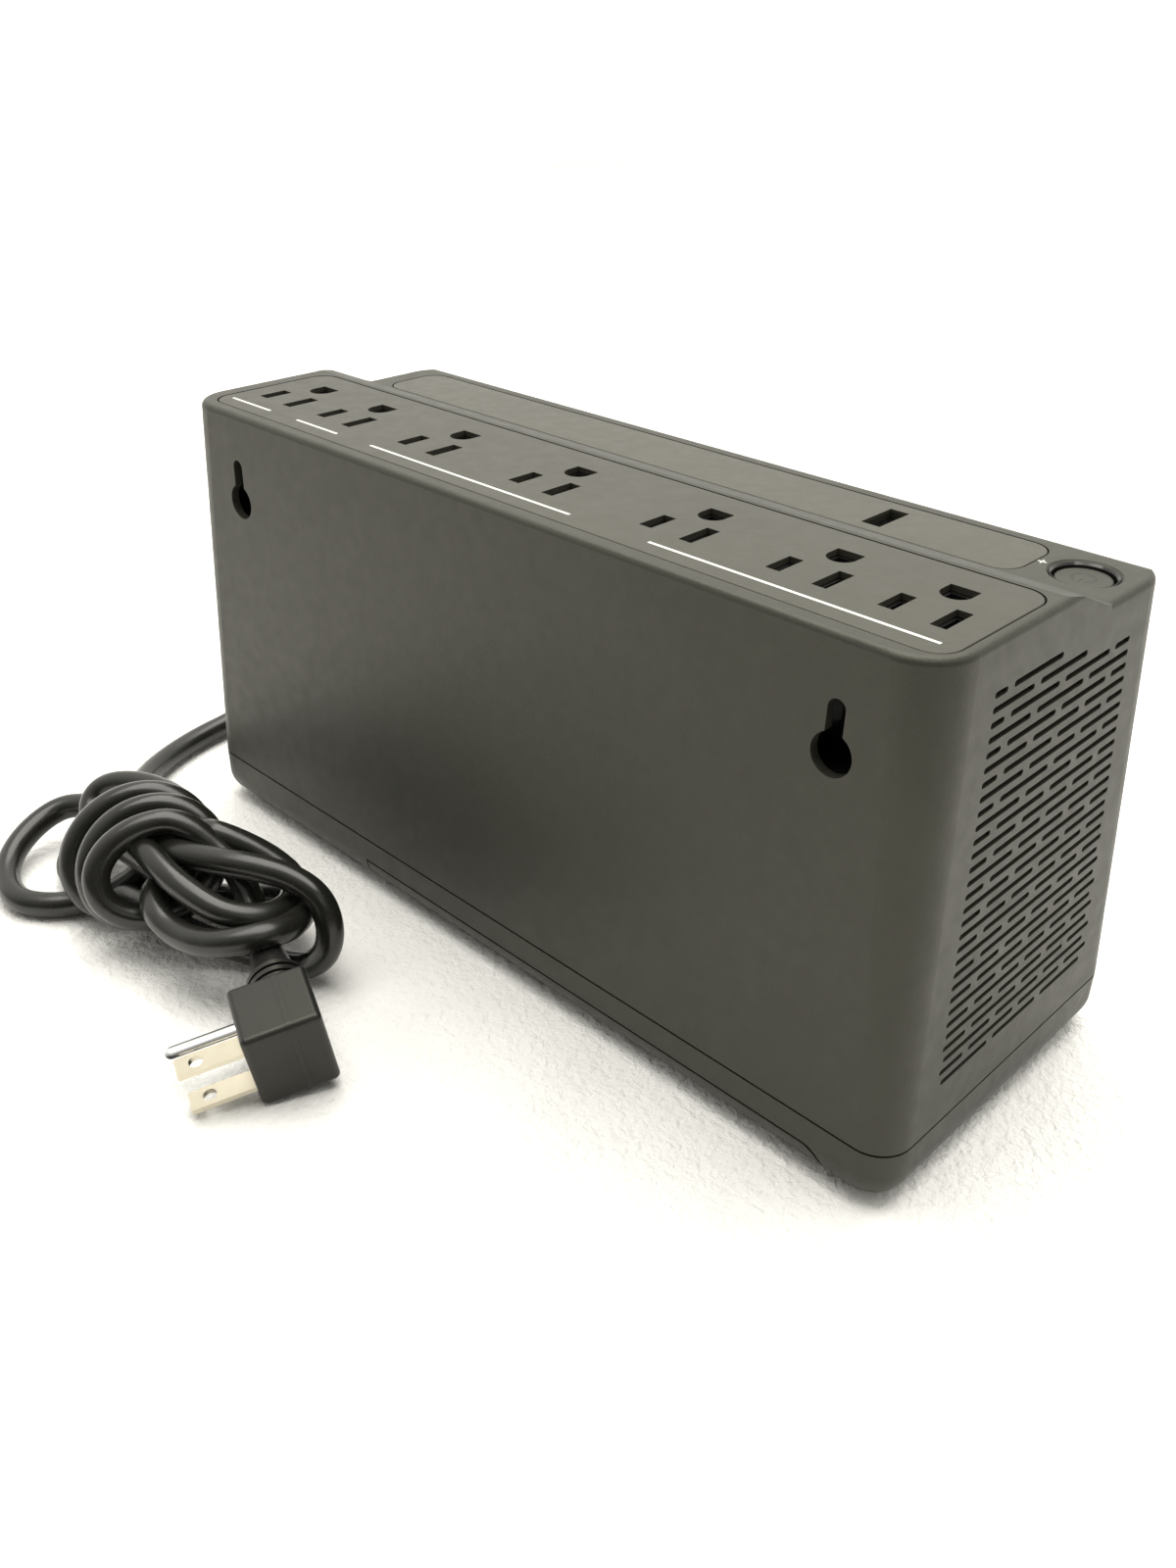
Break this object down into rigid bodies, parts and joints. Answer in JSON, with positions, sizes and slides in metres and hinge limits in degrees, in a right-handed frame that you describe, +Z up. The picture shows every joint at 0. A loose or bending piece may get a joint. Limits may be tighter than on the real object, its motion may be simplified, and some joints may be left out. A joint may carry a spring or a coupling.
{
  "type": "uninterruptible power supply",
  "caption": "Uninterruptible power supply: dark grey tapered case with outlets along its deck, a lower control strip, vent slots in one end and a coiled cord with a right angle plug.",
  "frame": {"origin": "bottom centre of the case, on the floor between its feet", "axes": "X along the case with the vented end at -X, +Y towards the back with the keyholes, +Z up"},
  "size_m": [0.3217, 0.2007, 0.138],
  "materials": {
    "case": "satin",
    "tray": "satin",
    "door": "satin",
    "deck_panel": "satin",
    "label_plate": "satin",
    "gloss_black": "gloss",
    "button": "satin",
    "component_black": "satin",
    "port_metal": "satin",
    "circuit_board": "satin",
    "receptacle": "satin",
    "contact_brass": "satin",
    "battery_case": "satin",
    "tinned_metal": "satin",
    "lead_red": "satin",
    "lead_black": "satin",
    "inner_plastic": "satin",
    "screw_steel": "satin",
    "heatsink": "satin",
    "relay_plastic": "satin",
    "capacitor_sleeve": "gloss",
    "varistor_coat": "gloss",
    "choke_copper": "satin",
    "core_steel": "satin",
    "winding_copper": "satin",
    "bracket_steel": "satin",
    "foot_rubber": "matte",
    "cord_black": "satin",
    "plug_black": "satin",
    "blade_nickel": "satin",
    "pin_chrome": "gloss"
  },
  "bodies": {
    "unit": {"base_tray": "tray", "battery": "battery_case", "battery_divider": "inner_plastic", "battery_lead_black": "lead_black", "battery_lead_red": "lead_red", "battery_terminals": "tinned_metal", "board_screws": "screw_steel", "breaker_body": "component_black", "breaker_nut": "gloss_black", "button_well_ring": "gloss_black", "buzzer": "component_black", "capacitors": "capacitor_sleeve", "choke": "choke_copper", "cord_hank": "cord_black", "cord_strain_relief": "cord_black", "ground_bus": "contact_brass", "heatsink": "heatsink", "hot_bus_battery": "contact_brass", "hot_bus_surge": "contact_brass", "housing_screws": "screw_steel", "keyhole_pocket_left": "gloss_black", "keyhole_pocket_right": "gloss_black", "label_panel": "label_plate", "main_board": "circuit_board", "mosfets": "component_black", "neutral_bus": "contact_brass", "outlet_deck_panel": "deck_panel", "plug_blades": "blade_nickel", "plug_body": "plug_black", "plug_ground_pin": "pin_chrome", "plug_strain_relief": "plug_black", "power_cord": "cord_black", "power_switch": "component_black", "receptacle_block_battery": "receptacle", "receptacle_block_surge": "receptacle", "relays": "relay_plastic", "rubber_feet": "foot_rubber", "surge_varistors": "varistor_coat", "transformer_bobbin": "inner_plastic", "transformer_bracket": "bracket_steel", "transformer_core": "core_steel", "transformer_screws": "screw_steel", "transformer_winding": "winding_copper", "upper_housing": "case", "usb_board": "circuit_board", "usb_port_shell": "port_metal", "usb_port_tongue": "gloss_black"},
    "button": {"power_button": "button"},
    "breaker": {"breaker_button": "button"},
    "door": {"battery_door": "door"}
  },
  "joints": [
    {"name": "power_button_press", "type": "slide", "parent": "unit", "child": "button", "axis": [0, 0, -1], "range_m": [0, 0.0015], "stiffness_N_per_m": 800},
    {"name": "breaker_reset", "type": "slide", "parent": "unit", "child": "breaker", "axis": [1, 0, 0], "range_m": [0, 0.004]},
    {"name": "battery_door_slide", "type": "slide", "parent": "unit", "child": "door", "axis": [0, 1, 0], "range_m": [0, 0.012]}
  ]
}
